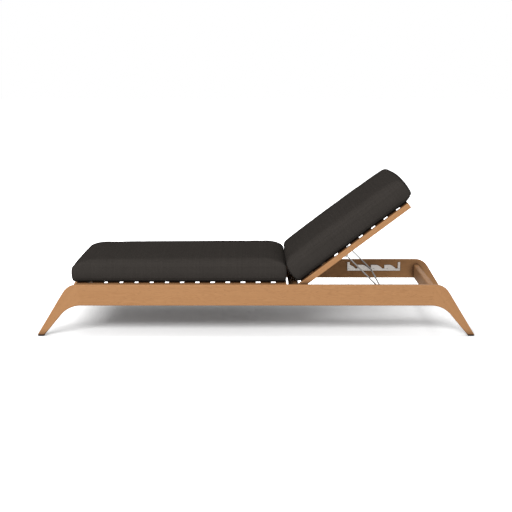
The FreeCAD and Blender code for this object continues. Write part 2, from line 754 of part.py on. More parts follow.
def side_frame_nodes():
    """Rails and legs with the holes for dowels, loose tenons, screws and hinge inserts."""
    dowel_holes = corner_dowels(DOWEL_RADIUS + FIT_CLEAR, DOWEL_HALF + FIT_CLEAR)
    holes = dowel_holes + [head_to_foot(hole) for hole in dowel_holes]
    for x0 in cross_places().values():
        holes.append(cross_keys(x0, FIT_CLEAR)[1])
    screw_hole = SCREW_RADIUS + FIT_CLEAR
    start = RAIL_INNER - OVERRUN
    for x in panel_screw_places():
        holes.append(rod_across(x, HINGE_Z, screw_hole, start, RAIL_INNER + SCREW_GRIP + FIT_CLEAR))
    small_hole = SMALL_SCREW_RADIUS + FIT_CLEAR
    for x, z in rack_screw_places():
        holes.append(rod_across(x, z, small_hole, start, RAIL_INNER + SMALL_SCREW_GRIP + FIT_CLEAR))
    insert_hole = INSERT_RADIUS + FIT_CLEAR
    holes.append(rod_across(HINGE_X, HINGE_Z, insert_hole, start, RAIL_INNER + INSERT_LENGTH + FIT_CLEAR))
    holes.append(glide_screw_hole())
    holes.append(head_to_foot(glide_screw_hole()))
    cutter = group(holes)
    rail = side_rail().cut(cutter)
    head_leg = leg().cut(cutter)
    foot_leg = head_to_foot(leg()).cut(cutter)
    return {
        "side_rail_right": rail,
        "side_rail_left": mirrored(rail),
        "head_leg_right": head_leg,
        "head_leg_left": mirrored(head_leg),
        "foot_leg_right": foot_leg,
        "foot_leg_left": mirrored(foot_leg),
    }


def corner_nodes():
    """Dowels in the four corners, the cross rails and their loose tenons."""
    dowels = corner_dowels(DOWEL_RADIUS, DOWEL_HALF)
    nodes = {"corner_dowels": both_sides(dowels + [head_to_foot(dowel) for dowel in dowels])}
    keys = []
    for name, x0 in cross_places().items():
        nodes[name] = cross_rail(x0)
        keys += cross_keys(x0, 0)
    nodes["cross_rail_tenons"] = group(keys)
    return nodes


def seat_nodes():
    """The seat panel with its screws and spacers."""
    rail = panel_rail(SEAT_START, SEAT_END, seat_spans())
    hole = SCREW_RADIUS + FIT_CLEAR
    for x in panel_screw_places():
        rail = rail.cut(rod_across(x, HINGE_Z, hole, PANEL_INNER - OVERRUN, PANEL_OUTER + OVERRUN))
    nodes = {"seat_rail_right": rail, "seat_rail_left": mirrored(rail)}
    for i, span in enumerate(seat_spans(), 1):
        nodes[f"seat_slat_{i:02d}"] = slat(span)
    nodes["seat_panel_screws"] = both_sides(panel_screws())
    nodes["seat_panel_spacers"] = both_sides(panel_spacers())
    return nodes


def back_nodes():
    """The backrest panel."""
    rail = panel_rail(BACK_START, BACK_END, back_spans())
    y_span = (PANEL_INNER - OVERRUN, PANEL_OUTER + OVERRUN)
    bush_hole = HINGE_RADIUS + BUSH_WALL + RUN_CLEAR
    rail = rail.cut(rod_across(HINGE_X, HINGE_Z, bush_hole, *y_span))
    screw_end = PANEL_INNER + SMALL_SCREW_GRIP + FIT_CLEAR
    for x, z in bracket_screw_places():
        rail = rail.cut(rod_across(x, z, SMALL_SCREW_RADIUS + FIT_CLEAR, y_span[0], screw_end))
    rail = to_rest(rail)
    nodes = {"back_rail_right": rail, "back_rail_left": mirrored(rail)}
    for i, span in enumerate(back_spans(), 1):
        nodes[f"back_slat_{i:02d}"] = to_rest(slat(span))
    return nodes


def hinge_nodes():
    """Bolts, washers and inserts on the side frames, and the bushes in the backrest."""
    return {
        "hinge_bolts": both_sides([hinge_bolt()]),
        "hinge_washers": both_sides([hinge_washer()]),
        "hinge_inserts": both_sides([hinge_insert()]),
        "hinge_bushes": both_sides([to_rest(hinge_bush())]),
    }


def prop_nodes():
    """The bail, its pins and brackets, and the racks that it stands in."""
    plate = to_rest(bracket())
    arm = swung(prop_leg())
    return {
        "rack_right": rack(),
        "rack_left": mirrored(rack()),
        "rack_screws": both_sides(rack_screws()),
        "prop_bracket_right": plate,
        "prop_bracket_left": mirrored(plate),
        "prop_bracket_screws": both_sides([to_rest(screw) for screw in bracket_screws()]),
        "prop_pins": both_sides([to_rest(prop_pin())]),
        "prop_leg_right": arm,
        "prop_leg_left": mirrored(arm),
        "prop_crossbar": swung(prop_bar()),
    }


def foot_nodes():
    """Glides and their screws under the four feet."""
    pad = glide().cut(glide_screw_hole())
    screw = glide_screw()
    return {
        "foot_glides": both_sides([pad, head_to_foot(pad)]),
        "foot_glide_screws": both_sides([screw, head_to_foot(screw)]),
    }


def cushion_nodes():
    return {"seat_cushion": seat_cushion(), "back_cushion": back_cushion()}


def main():
    os.makedirs("parts", exist_ok=True)
    nodes = {}
    groups = (side_frame_nodes, corner_nodes, seat_nodes, back_nodes, hinge_nodes, prop_nodes, foot_nodes,
              cushion_nodes)
    for made in groups:
        nodes.update(made())
    for name, shape in nodes.items():
        shape.exportStep(f"parts/{name}.step")
        print(name, len(shape.Solids), shape.isValid(), round(shape.Volume))
    print("nodes", len(nodes))
    print("hinge", round(HINGE_X, 4), round(HINGE_Z, 4))
    print("pivot at rest", [round(value, 4) for value in pivot_at_rest()])
    print("bail slope", round(bail_slope(), 4), "bar at", round(bar_at_rest(), 4), round(BAR_Z, 4))
    print("toe", round(leg_outline()[1].x, 4))


main()
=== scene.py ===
import json
import math
from collections import namedtuple

import bpy
import numpy as np
from bpy.props import FloatProperty, FloatVectorProperty, IntProperty, PointerProperty
from bpy.types import Operator, Panel, PropertyGroup
from mathutils.kdtree import KDTree
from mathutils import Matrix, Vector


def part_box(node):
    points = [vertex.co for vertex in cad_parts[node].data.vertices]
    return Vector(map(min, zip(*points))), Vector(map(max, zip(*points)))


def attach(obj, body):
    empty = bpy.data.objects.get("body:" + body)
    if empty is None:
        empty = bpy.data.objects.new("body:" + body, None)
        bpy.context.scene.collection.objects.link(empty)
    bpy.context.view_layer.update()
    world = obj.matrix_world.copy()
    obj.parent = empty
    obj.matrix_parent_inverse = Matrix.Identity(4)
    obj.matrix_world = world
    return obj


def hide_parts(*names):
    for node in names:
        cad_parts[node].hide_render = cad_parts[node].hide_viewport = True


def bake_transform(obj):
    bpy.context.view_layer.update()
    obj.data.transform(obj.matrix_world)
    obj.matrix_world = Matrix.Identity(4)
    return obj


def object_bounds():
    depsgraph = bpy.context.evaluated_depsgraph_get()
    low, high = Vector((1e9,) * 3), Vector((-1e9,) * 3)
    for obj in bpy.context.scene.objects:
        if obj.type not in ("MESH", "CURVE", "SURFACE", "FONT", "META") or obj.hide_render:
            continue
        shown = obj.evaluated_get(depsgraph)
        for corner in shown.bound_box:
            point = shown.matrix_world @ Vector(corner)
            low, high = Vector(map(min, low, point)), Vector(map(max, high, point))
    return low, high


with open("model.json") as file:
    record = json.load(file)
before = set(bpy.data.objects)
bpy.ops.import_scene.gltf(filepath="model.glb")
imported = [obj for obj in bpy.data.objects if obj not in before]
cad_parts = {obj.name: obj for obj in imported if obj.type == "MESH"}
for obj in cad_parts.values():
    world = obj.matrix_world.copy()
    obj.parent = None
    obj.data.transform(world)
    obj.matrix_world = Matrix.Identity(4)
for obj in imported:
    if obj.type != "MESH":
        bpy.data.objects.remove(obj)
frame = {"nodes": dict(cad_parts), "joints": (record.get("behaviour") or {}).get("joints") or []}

bl_info = {
    "name": "Timber sun lounger",
    "version": (1, 0, 0),
    "blender": (4, 5, 0),
    "location": "View3D > Sidebar > Lounger",
    "description": "Dresses the slatted sun lounger with timber, steel and simulated cushions",
    "category": "Object",
}

CAD_BOX = [list(corner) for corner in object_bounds()]
RECLINE = next(joint for joint in frame["joints"] if joint["name"] == "backrest_recline")
HINGE = RECLINE["pos_m"]
REST_TILT = -math.radians(RECLINE["range_deg"][0])
LEG_SLOPE = math.radians(54.0)
BAIL_SLOPE = math.radians(44.7)
BACK_SLAT_PITCH = 0.0585
FLOOR_INSET = 0.18
FLOOR_NEAR_SHIFT = 0.16
FLOOR_FADE = 0.6
QUARTER_TURN = math.pi / 2


def nodes_named(*starts):
    """CAD nodes whose names begin with one of these words, in order."""
    return [name for name in sorted(frame["nodes"]) if name.startswith(starts)]


# settings


class LoungerTimber(PropertyGroup):
    """Colours and grain of the oiled timber."""
    light: FloatVectorProperty(name="Light wood", description="Colour between the growth rings",
                               subtype="COLOR", size=3, default=(0.545, 0.285, 0.130))
    dark: FloatVectorProperty(name="Dark wood", description="Colour of the growth rings",
                              subtype="COLOR", size=3, default=(0.410, 0.196, 0.082))
    pore: FloatVectorProperty(name="Pores", description="Colour of the open pores",
                              subtype="COLOR", size=3, default=(0.230, 0.100, 0.040))
    # painted shade: the colour that the wood darkens towards where pieces stand close
    corner_shade: FloatVectorProperty(name="Corners", description="Colour in the corners between pieces",
                               subtype="COLOR", size=3, default=(0.030, 0.010, 0.004))
    bounce: FloatVectorProperty(name="Bounce", description="Colour of the light that the wood gives back",
                                subtype="COLOR", size=3, default=(0.51, 0.485, 0.475))
    ring: FloatProperty(name="Ring width", description="Usual width of one growth ring",
                        unit="LENGTH", default=0.0032, min=0.001)
    pore_depth: FloatProperty(name="Pore depth", description="Depth of pores and fibres",
                              unit="LENGTH", default=0.00025, min=0.0)


class LoungerFabric(PropertyGroup):
    """Colours and weave of the cushion covers."""
    warp: FloatVectorProperty(name="Warp", description="Colour of the lengthwise yarn",
                              subtype="COLOR", size=3, default=(0.0640, 0.0560, 0.0505))
    weft: FloatVectorProperty(name="Weft", description="Colour of the crosswise yarn",
                              subtype="COLOR", size=3, default=(0.0450, 0.0400, 0.0360))
    yarn: FloatProperty(name="Yarn pitch", description="Distance between neighbouring yarns",
                        unit="LENGTH", default=0.0014, min=0.0002)
    seam_depth: FloatProperty(name="Seam depth", description="How far a seam pulls the cover in",
                              unit="LENGTH", default=0.0012, min=0.0)
    seam_width: FloatProperty(name="Seam width", description="Half width of the valley along a seam",
                              unit="LENGTH", default=0.0040, min=0.001)


class LoungerCushion(PropertyGroup):
    """Shape of a cushion before its cover is blown up."""
    top_reach: FloatProperty(name="Upper edge, across", description="Width of the curve at the upper edge",
                             unit="LENGTH", default=0.036, min=0.005)
    top_drop: FloatProperty(name="Upper edge, down", description="Height of the curve at the upper edge",
                            unit="LENGTH", default=0.034, min=0.005)
    base_reach: FloatProperty(name="Lower edge, across", description="Width of the curve at the lower edge",
                              unit="LENGTH", default=0.035, min=0.005)
    base_rise: FloatProperty(name="Lower edge, up", description="Height of the curve at the lower edge",
                             unit="LENGTH", default=0.025, min=0.005)
    draw_in: FloatProperty(name="Draw-in", description="How far the sides pull in between the corners",
                           unit="LENGTH", default=0.003, min=0.0)
    belly: FloatProperty(name="Belly", description="How far the side bulges between its seams",
                         unit="LENGTH", default=0.002, min=0.0)
    crown: FloatProperty(name="Crown", description="How far the middle rises above the edges",
                         unit="LENGTH", default=0.006, min=0.0)
    voxel: FloatProperty(name="Cloth spacing", description="Distance between the points of the cloth",
                         unit="LENGTH", default=0.006, min=0.002)
    cap: FloatProperty(name="Movement limit", description="Farthest that a point of the cloth may move",
                       unit="LENGTH", default=0.007, min=0.0)
    pressure: FloatProperty(name="Pressure", description="Air pressure inside the cover", default=4.0)
    frames: IntProperty(name="Steps", description="Steps of the cloth simulation", default=20, min=1)


class LoungerMetal(PropertyGroup):
    """Colours of the steel, plastic and rubber."""
    steel: FloatVectorProperty(name="Steel", description="Colour of the racks, brackets and bail",
                               subtype="COLOR", size=3, default=(0.80, 0.77, 0.73))
    rod: FloatVectorProperty(name="Rod", description="Colour of the bail's legs and bar",
                             subtype="COLOR", size=3, default=(0.30, 0.29, 0.285))
    screw: FloatVectorProperty(name="Screws", description="Colour of screws and bolts",
                               subtype="COLOR", size=3, default=(0.55, 0.54, 0.52))
    glide: FloatVectorProperty(name="Glides", description="Colour of the pads under the feet",
                               subtype="COLOR", size=3, default=(0.012, 0.011, 0.010))
    bush: FloatVectorProperty(name="Bushes", description="Colour of the hinge bushes",
                              subtype="COLOR", size=3, default=(0.66, 0.64, 0.58))


class LoungerStage(PropertyGroup):
    """Camera, floor and light."""
    distance: FloatProperty(name="Camera distance", description="Distance in front of the middle",
                            unit="LENGTH", default=5.4348)
    height: FloatProperty(name="Camera height", description="Height above the floor",
                          unit="LENGTH", default=1.3084)
    pitch: FloatProperty(name="Camera pitch", description="How far the camera looks down",
                         subtype="ANGLE", default=math.radians(10.241))
    lens: FloatProperty(name="Lens", description="Focal length on a 36 mm sensor, in millimetres",
                        default=76.97)
    floor_size: FloatProperty(name="Floor", description="Width of the floor", unit="LENGTH", default=60.0)
    floor_white: FloatProperty(name="Floor white", description="Brightness seen near by", default=1.55)
    floor_far: FloatProperty(name="Floor white, far off", description="Brightness seen far off", default=4.0)
    floor_bounce: FloatProperty(name="Floor bounce", description="How much light the floor gives back",
                                default=0.70, max=1.0)
    sky: FloatProperty(name="Sky", description="Strength of the even light from all round", default=0.29)
    front: FloatProperty(name="Front lamp", description="Power of the large lamp near the camera, in watts",
                         default=735.0)
    top: FloatProperty(name="Top lamp", description="Power of the lamp overhead, in watts", default=24.0)


# node helpers


def socket(group, name, direction, kind="NodeSocketFloat", default=None):
    """Adds a named input or output to a node group."""
    item = group.interface.new_socket(name=name, in_out=direction, socket_type=kind)
    if default is not None:
        item.default_value = default


class Tree:
    """Short ways to add nodes to a material or a node group."""

    def __init__(self, tree):
        self.tree = tree

    def add(self, kind, inputs=None, **settings):
        """One node. inputs gives a value or another node's output for each named or numbered socket."""
        node = self.tree.nodes.new(kind)
        for name, value in settings.items():
            setattr(node, name, value)
        for name, value in (inputs or {}).items():
            self.put(node.inputs[name], value)
        return node

    def put(self, place, value):
        """Links an output to a socket, or sets the socket's own value."""
        if isinstance(value, bpy.types.NodeSocket):
            self.tree.links.new(value, place)
        elif isinstance(place.default_value, float) or not hasattr(value, "__len__"):
            place.default_value = value
        else:
            value = tuple(value)
            size = len(place.default_value)
            place.default_value = value + (1.0,) * (size - len(value))

    def math(self, operation, a, b=0.0, c=0.0, clamp=False):
        """A Math node's output."""
        return self.add("ShaderNodeMath", {0: a, 1: b, 2: c}, operation=operation, use_clamp=clamp).outputs[0]

    def vector(self, operation, a, b=(0, 0, 0), scale=None):
        """A Vector Math node's output."""
        node = self.add("ShaderNodeVectorMath", {0: a, 1: b}, operation=operation)
        if scale is not None:
            self.put(node.inputs["Scale"], scale)
        return node.outputs["Value" if operation in ("LENGTH", "DOT_PRODUCT") else "Vector"]

    def blend(self, factor, a, b, mode="MIX"):
        """A colour mix's output."""
        node = self.add("ShaderNodeMix", data_type="RGBA", blend_type=mode, clamp_factor=True)
        for index, value in ((0, factor), (6, a), (7, b)):
            self.put(node.inputs[index], value)
        return node.outputs[2]

    def shade(self, colour, level):
        """A colour multiplied by a value."""
        return self.blend(1.0, colour, self.join(level, level, level), "MULTIPLY")

    def ramp(self, value, start, end):
        """value rescaled so that start gives 0 and end gives 1, with a smooth step between."""
        node = self.add("ShaderNodeMapRange", {"Value": value, "From Min": start, "From Max": end},
                        interpolation_type="SMOOTHSTEP")
        return node.outputs[0]

    def noise(self, where, scale, detail=2.0, roughness=0.5):
        """Noise between 0 and 1."""
        inputs = {"Vector": where, "Scale": scale, "Detail": detail, "Roughness": roughness}
        return self.add("ShaderNodeTexNoise", inputs).outputs["Fac"]

    def turned(self, where, turn=(0, 0, 0), size=(1, 1, 1)):
        """Coordinates turned and scaled by a Mapping node."""
        inputs = {"Vector": where, "Rotation": turn, "Scale": size}
        return self.add("ShaderNodeMapping", inputs, vector_type="POINT").outputs[0]

    def parts(self, where):
        """X, Y and Z of a vector."""
        return self.add("ShaderNodeSeparateXYZ", {0: where}).outputs

    def join(self, x, y, z):
        """A vector from three values."""
        return self.add("ShaderNodeCombineXYZ", {0: x, 1: y, 2: z}).outputs[0]


def new_group(name, inputs, outputs):
    """An empty node group with its sockets, its Tree, and its input and output nodes."""
    group = bpy.data.node_groups.new(name, "ShaderNodeTree")
    for entry in inputs:
        socket(group, entry[0], "INPUT", *entry[1:])
    for entry in outputs:
        socket(group, entry[0], "OUTPUT", *entry[1:])
    tree = Tree(group)
    return group, tree, tree.add("NodeGroupInput").outputs, tree.add("NodeGroupOutput").inputs


def new_material(name, **constants):
    """A material with one Principled BSDF whose constant sockets are set here."""
    material = bpy.data.materials.new(name)
    material.use_nodes = True
    tree = Tree(material.node_tree)
    shader = material.node_tree.nodes["Principled BSDF"]
    for key, value in constants.items():
        tree.put(shader.inputs[key.replace("_", " ").title().replace("Ior", "IOR")], value)
    return material, tree, shader


def finish_shader(tree, shader, colour, roughness, height):
    """Feeds a shader's colour, roughness and bump."""
    tree.put(shader.inputs["Base Color"], colour)
    tree.put(shader.inputs["Roughness"], roughness)
    bump = tree.add("ShaderNodeBump", {"Height": height, "Strength": 1.0, "Distance": 1.0})
    tree.put(shader.inputs["Normal"], bump.outputs[0])


def use_group(tree, group, inputs):
    """A node group placed in a material."""
    node = tree.add("ShaderNodeGroup", node_tree=group)
    for name, value in inputs.items():
        tree.put(node.inputs[name], value)
    return node.outputs


def dress(names, material):
    """Gives CAD nodes one material."""
    for name in names:
        obj = frame["nodes"][name]
        obj.data.materials.clear()
        obj.data.materials.append(material)


# shared effects


def timber_group():
    """Oiled hardwood: growth rings round a distant heart, long fibres, short dark pores and slow drifts.

    Grain runs along X. Board is any number that changes from board to board.
    """
    colour = "NodeSocketColor"
    group, tree, given, out = new_group(
        "Oiled hardwood",
        [("Vector", "NodeSocketVector"), ("Board",), ("Light", colour), ("Dark", colour), ("Pore", colour),
         ("Ring width", "NodeSocketFloat", 0.007), ("Pore depth", "NodeSocketFloat", 0.0003)],
        [("Color", colour), ("Roughness",), ("Height",)])
    where = given["Vector"]
    chance = tree.add("ShaderNodeTexWhiteNoise", {"W": given["Board"]}, noise_dimensions="1D").outputs
    shift = tree.vector("SCALE", chance["Color"], scale=3.0)
    board = tree.vector("ADD", where, shift)
    slow = tree.noise(tree.turned(board, size=(1.2, 7.0, 7.0)), 2.2, 2.0)
    bend = tree.math("MULTIPLY_ADD", slow, 0.09, -0.045)
    sides = tree.parts(tree.vector("SUBTRACT", where, tree.turned(shift, size=(0.0, 0.03, 0.02))))
    across = tree.math("ADD", sides[1], bend)
    heart = tree.math("ADD", sides[2], 0.085)
    radius = tree.math("SQRT", tree.math("ADD", tree.math("MULTIPLY", across, across),
                                         tree.math("MULTIPLY", heart, heart)))
    rings = tree.math("DIVIDE", radius, given["Ring width"])
    wobble = tree.noise(tree.turned(board, size=(4.0, 40.0, 40.0)), 1.0, 3.0)
    phase = tree.math("FRACT", tree.math("MULTIPLY_ADD", wobble, 1.3, rings))
    late = tree.math("MULTIPLY", tree.ramp(phase, 0.25, 0.92), tree.ramp(phase, 1.0, 0.95))
    fibre = tree.noise(tree.turned(board, size=(9.0, 420.0, 420.0)), 1.0, 4.0, 0.65)
    streak = tree.noise(tree.turned(board, size=(2.2, 60.0, 60.0)), 1.0, 3.0, 0.6)
    tone = tree.math("MULTIPLY_ADD", late, 0.26, tree.math("MULTIPLY", tree.ramp(streak, 0.30, 0.80), 0.24))
    tone = tree.math("ADD", tone, tree.math("MULTIPLY_ADD", fibre, 0.44, -0.10))
    tone = tree.math("ADD", tone, tree.math("MULTIPLY_ADD", chance["Value"], 0.12, -0.06), clamp=True)
    wood = tree.blend(tone, given["Light"], given["Dark"])
    pits = tree.noise(tree.turned(board, size=(45.0, 900.0, 900.0)), 1.0, 1.0)
    pit = tree.ramp(pits, 0.64, 0.74)
    wood = tree.blend(tree.math("MULTIPLY", pit, 0.55), wood, given["Pore"])
    tree.put(out["Color"], wood)
    rough = tree.math("MULTIPLY_ADD", late, -0.06, 0.50)
    tree.put(out["Roughness"], tree.math("MULTIPLY_ADD", pit, 0.2, rough))
    relief = tree.math("MULTIPLY_ADD", fibre, 0.45, tree.math("MULTIPLY", late, 0.25))
    relief = tree.math("SUBTRACT", relief, pit)
    tree.put(out["Height"], tree.math("MULTIPLY", relief, given["Pore depth"]))
    return group


def edge_wear_group():
    """Where the surface turns sharply, between 0 and 1, broken up by noise: handled edges are paler."""
    group, tree, given, out = new_group(
        "Handled edges",
        [("Vector", "NodeSocketVector"), ("Width", "NodeSocketFloat", 0.002),
         ("Grain", "NodeSocketFloat", 60.0)],
        [("Mask",)])
    soft = tree.add("ShaderNodeBevel", {"Radius": given["Width"]}, samples=4).outputs[0]
    sharp = tree.add("ShaderNodeNewGeometry").outputs["Normal"]
    turn = tree.math("SUBTRACT", 1.0, tree.vector("DOT_PRODUCT", soft, sharp))
    broken = tree.noise(tree.vector("SCALE", given["Vector"], scale=given["Grain"]), 1.0, 3.0)
    tree.put(out["Mask"], tree.math("MULTIPLY", tree.ramp(turn, 0.02, 0.20), tree.ramp(broken, 0.3, 0.7)))
    return group


def painted_shade_group():
    """Painted shade where surfaces stand close: a mask between 0 and 1, broken up by noise, that darkens the
    colour there.
    """
    group, tree, given, out = new_group(
        "Dark corners",
        [("Vector", "NodeSocketVector"), ("Reach", "NodeSocketFloat", 0.045),
         ("Strength", "NodeSocketFloat", 0.95)],
        [("Mask",)])
    near = tree.add("ShaderNodeAmbientOcclusion", {"Distance": given["Reach"]}, samples=6).outputs["AO"]
    closed = tree.ramp(near, 0.95, 0.40)
    broken = tree.noise(tree.vector("SCALE", given["Vector"], scale=30.0), 1.0, 3.0)
    closed = tree.math("MULTIPLY", closed, tree.math("MULTIPLY_ADD", broken, 0.3, 0.85), clamp=True)
    tree.put(out["Mask"], tree.math("MULTIPLY", closed, given["Strength"]))
    return group


def weave_group():
    """Plain weave on a UV map in metres: yarns cross over and under, each with its own tone, with slubs, and
    with painted shade that darkens each yarn towards its low points.
    """
    colour = "NodeSocketColor"
    group, tree, given, out = new_group(
        "Plain weave",
        [("Vector", "NodeSocketVector"), ("Warp", colour), ("Weft", colour),
         ("Yarn", "NodeSocketFloat", 0.0014)],
        [("Color", colour), ("Height",), ("Roughness",)])
    drift = tree.add("ShaderNodeTexNoise", {"Vector": given["Vector"], "Scale": 35.0, "Detail": 1.0})
    drift = tree.vector("SUBTRACT", drift.outputs["Color"], (0.5, 0.5, 0.5))
    drift = tree.vector("SCALE", drift, scale=0.0009)
    place = tree.parts(tree.vector("ADD", given["Vector"], drift))
    u = tree.math("DIVIDE", place[0], given["Yarn"])
    v = tree.math("DIVIDE", place[1], given["Yarn"])
    column = tree.math("FLOOR", u)
    row = tree.math("FLOOR", v)
    over = tree.math("MODULO", tree.math("ABSOLUTE", tree.math("ADD", column, row)), 2.0)
    bow_u = tree.math("SINE", tree.math("MULTIPLY", tree.math("FRACT", u), math.pi))
    bow_v = tree.math("SINE", tree.math("MULTIPLY", tree.math("FRACT", v), math.pi))
    warp_lift = tree.math("MULTIPLY", bow_u, tree.math("MULTIPLY_ADD", bow_v, 0.5, 0.5))
    weft_lift = tree.math("MULTIPLY", bow_v, tree.math("MULTIPLY_ADD", bow_u, 0.5, 0.5))
    lift = tree.add("ShaderNodeMix", {0: over, 2: warp_lift, 3: weft_lift}, data_type="FLOAT").outputs[0]
    yarn = tree.blend(over, given["Warp"], given["Weft"])
    end = tree.add("ShaderNodeMix", {0: over, 2: column, 3: tree.math("ADD", row, 517.0)},
                   data_type="FLOAT").outputs[0]
    tint = tree.add("ShaderNodeTexWhiteNoise", {"W": end}, noise_dimensions="1D").outputs["Value"]
    slub = tree.noise(given["Vector"], 900.0, 2.0, 0.7)
    patch = tree.noise(given["Vector"], 9.0, 3.0, 0.6)
    level = tree.math("MULTIPLY_ADD", tint, 0.20, 0.90)
    level = tree.math("MULTIPLY", level, tree.math("MULTIPLY_ADD", slub, 0.70, 0.65))
    level = tree.math("MULTIPLY", level, tree.math("MULTIPLY_ADD", patch, 0.16, 0.92))
    # painted shade: each yarn darkens where it dips under its neighbour and brightens where it rises over it
    level = tree.math("MULTIPLY", level, tree.math("MULTIPLY_ADD", lift, 0.45, 0.70))
    tree.put(out["Color"], tree.shade(yarn, level))
    tree.put(out["Height"], tree.math("MULTIPLY", tree.math("MULTIPLY_ADD", slub, 0.3, lift), 0.0004))
    tree.put(out["Roughness"], tree.math("MULTIPLY_ADD", slub, 0.12, 0.78))
    return group


def brushed_group():
    """Brushed steel: fine scratches along X, slow smears and a few dull marks."""
    colour = "NodeSocketColor"
    group, tree, given, out = new_group(
        "Brushed steel",
        [("Vector", "NodeSocketVector"), ("Steel", colour)],
        [("Color", colour), ("Roughness",), ("Height",)])
    scratch = tree.noise(tree.turned(given["Vector"], size=(18.0, 2600.0, 2600.0)), 1.0, 4.0, 0.7)
    smear = tree.noise(given["Vector"], 24.0, 3.0, 0.6)
    dull = tree.math("MULTIPLY_ADD", smear, -0.16, 1.08)
    level = tree.math("MULTIPLY", dull, tree.math("MULTIPLY_ADD", scratch, 0.20, 0.90))
    tree.put(out["Color"], tree.shade(given["Steel"], level))
    rough = tree.math("MULTIPLY_ADD", smear, 0.16, 0.22)
    tree.put(out["Roughness"], tree.math("MULTIPLY_ADD", scratch, 0.14, rough))
    tree.put(out["Height"], tree.math("MULTIPLY", scratch, 0.00004))
    return group


def shared(name, maker):
    """A node group, made the first time it is needed."""
    return bpy.data.node_groups.get(name) or maker()


# materials


def timber_material(name, turn=(0, 0, 0), pitch=None, start=0.0, board=0.0):
    """Timber whose grain follows the piece.

    turn lays the grain, which runs along X in the pattern, along the piece. With a pitch, boards that are
    pitch apart across the grain from start on each get their own pattern. The light that the wood gives back
    to its surroundings has the bounce colour.
    """
    look = bpy.context.scene.lounger_timber
    material, tree, shader = new_material(name, specular_ior_level=0.10)
    where = tree.add("ShaderNodeTexCoord").outputs["Object"]
    grain = tree.turned(where, turn)
    number = board
    if pitch:
        across = tree.parts(grain)[1]
        number = tree.math("FLOOR", tree.math("DIVIDE", tree.math("SUBTRACT", across, start), pitch))
    wood = use_group(tree, shared("Oiled hardwood", timber_group), {
        "Vector": grain, "Board": number, "Light": look.light, "Dark": look.dark, "Pore": look.pore,
        "Ring width": look.ring, "Pore depth": look.pore_depth})
    worn = use_group(tree, shared("Handled edges", edge_wear_group), {"Vector": where})
    pale = tree.blend(tree.math("MULTIPLY", worn["Mask"], 0.15), wood["Color"],
                      tuple(min(1.0, 1.25 * value) for value in look.light))
    corners = use_group(tree, shared("Dark corners", painted_shade_group), {"Vector": where})
    given = tree.blend(tree.add("ShaderNodeLightPath").outputs["Is Diffuse Ray"], pale, look.bounce)
    # painted shade: the colour darkens towards the corner shade colour where surfaces stand close
    colour = tree.blend(corners["Mask"], given, look.corner_shade)
    finish_shader(tree, shader, colour, wood["Roughness"], wood["Height"])
    return material


def steel_material(name, colour, turn=(0, 0, 0)):
    """Brushed steel with its scratches along the piece."""
    material, tree, shader = new_material(name, metallic=1.0)
    where = tree.turned(tree.add("ShaderNodeTexCoord").outputs["Object"], turn=turn)
    steel = use_group(tree, shared("Brushed steel", brushed_group), {"Vector": where, "Steel": colour})
    finish_shader(tree, shader, steel["Color"], steel["Roughness"], steel["Height"])
    return material


def moulded_material(name, colour, rough):
    """Moulded plastic or rubber: a fine stipple and slightly uneven tone."""
    material, tree, shader = new_material(name)
    where = tree.add("ShaderNodeTexCoord").outputs["Object"]
    stipple = tree.noise(where, 1800.0, 2.0, 0.6)
    scuff = tree.noise(where, 70.0, 4.0, 0.6)
    level = tree.math("MULTIPLY_ADD", scuff, 0.5, 0.75)
    finish_shader(tree, shader, tree.shade(colour, level), tree.math("MULTIPLY_ADD", scuff, 0.2, rough),
                  tree.math("MULTIPLY", stipple, 0.0001))
    return material


def cover_material():
    """Charcoal outdoor cloth on the cushions' own UV map."""
    name = "Charcoal outdoor cloth"
    if name in bpy.data.materials:
        return bpy.data.materials[name]
    look = bpy.context.scene.lounger_fabric
    material, tree, shader = new_material(name, specular_ior_level=0.0)
    where = tree.add("ShaderNodeUVMap", uv_map="cloth").outputs[0]
    cloth = use_group(tree, shared("Plain weave", weave_group), {
        "Vector": where, "Warp": look.warp, "Weft": look.weft, "Yarn": look.yarn})
    finish_shader(tree, shader, cloth["Color"], cloth["Roughness"], cloth["Height"])
    return material


# cushion surfaces


CushionForm = namedtuple("CushionForm", "length width height arch foot head")
CushionEnd = namedtuple("CushionEnd", "base top corner height bulge")


def ring(x0, x1, half, corner0, corner1, sides=96, ends=56, arcs=14):
    """Rounded rectangles, one per row: straight runs and quarter circles follow each other round the outline.

    x0, x1, half, corner0 and corner1 are columns: the two ends, half the width, and the corner radius at
    each end. A run goes from corner to corner in equal steps, and an arc is its centre plus the radius times
    cosine and sine.
    """
    run = np.linspace(0, 1, sides, endpoint=False)
    cap = np.linspace(0, 1, ends, endpoint=False)
    turn = np.linspace(0, QUARTER_TURN, arcs, endpoint=False)
    x_near = x0 + corner0 + (x1 - corner1 - x0 - corner0) * run
    y_head = (half - corner1) * (2 * cap - 1)
    y_foot = (half - corner0) * (2 * cap - 1)
    flat = np.ones_like(run)
    upright = np.ones_like(cap)
    x = np.concatenate([
        x_near, x1 - corner1 + corner1 * np.sin(turn), x1 * upright, x1 - corner1 + corner1 * np.cos(turn),
        x0 + x1 + corner0 - corner1 - x_near, x0 + corner0 - corner0 * np.sin(turn), x0 * upright,
        x0 + corner0 - corner0 * np.cos(turn)], axis=1)
    y = np.concatenate([
        -half * flat, -half + corner1 - corner1 * np.cos(turn), y_head,
        half - corner1 + corner1 * np.sin(turn), half * flat, half - corner0 + corner0 * np.cos(turn),
        -y_foot, -half + corner0 - corner0 * np.sin(turn)], axis=1)
    return x, y


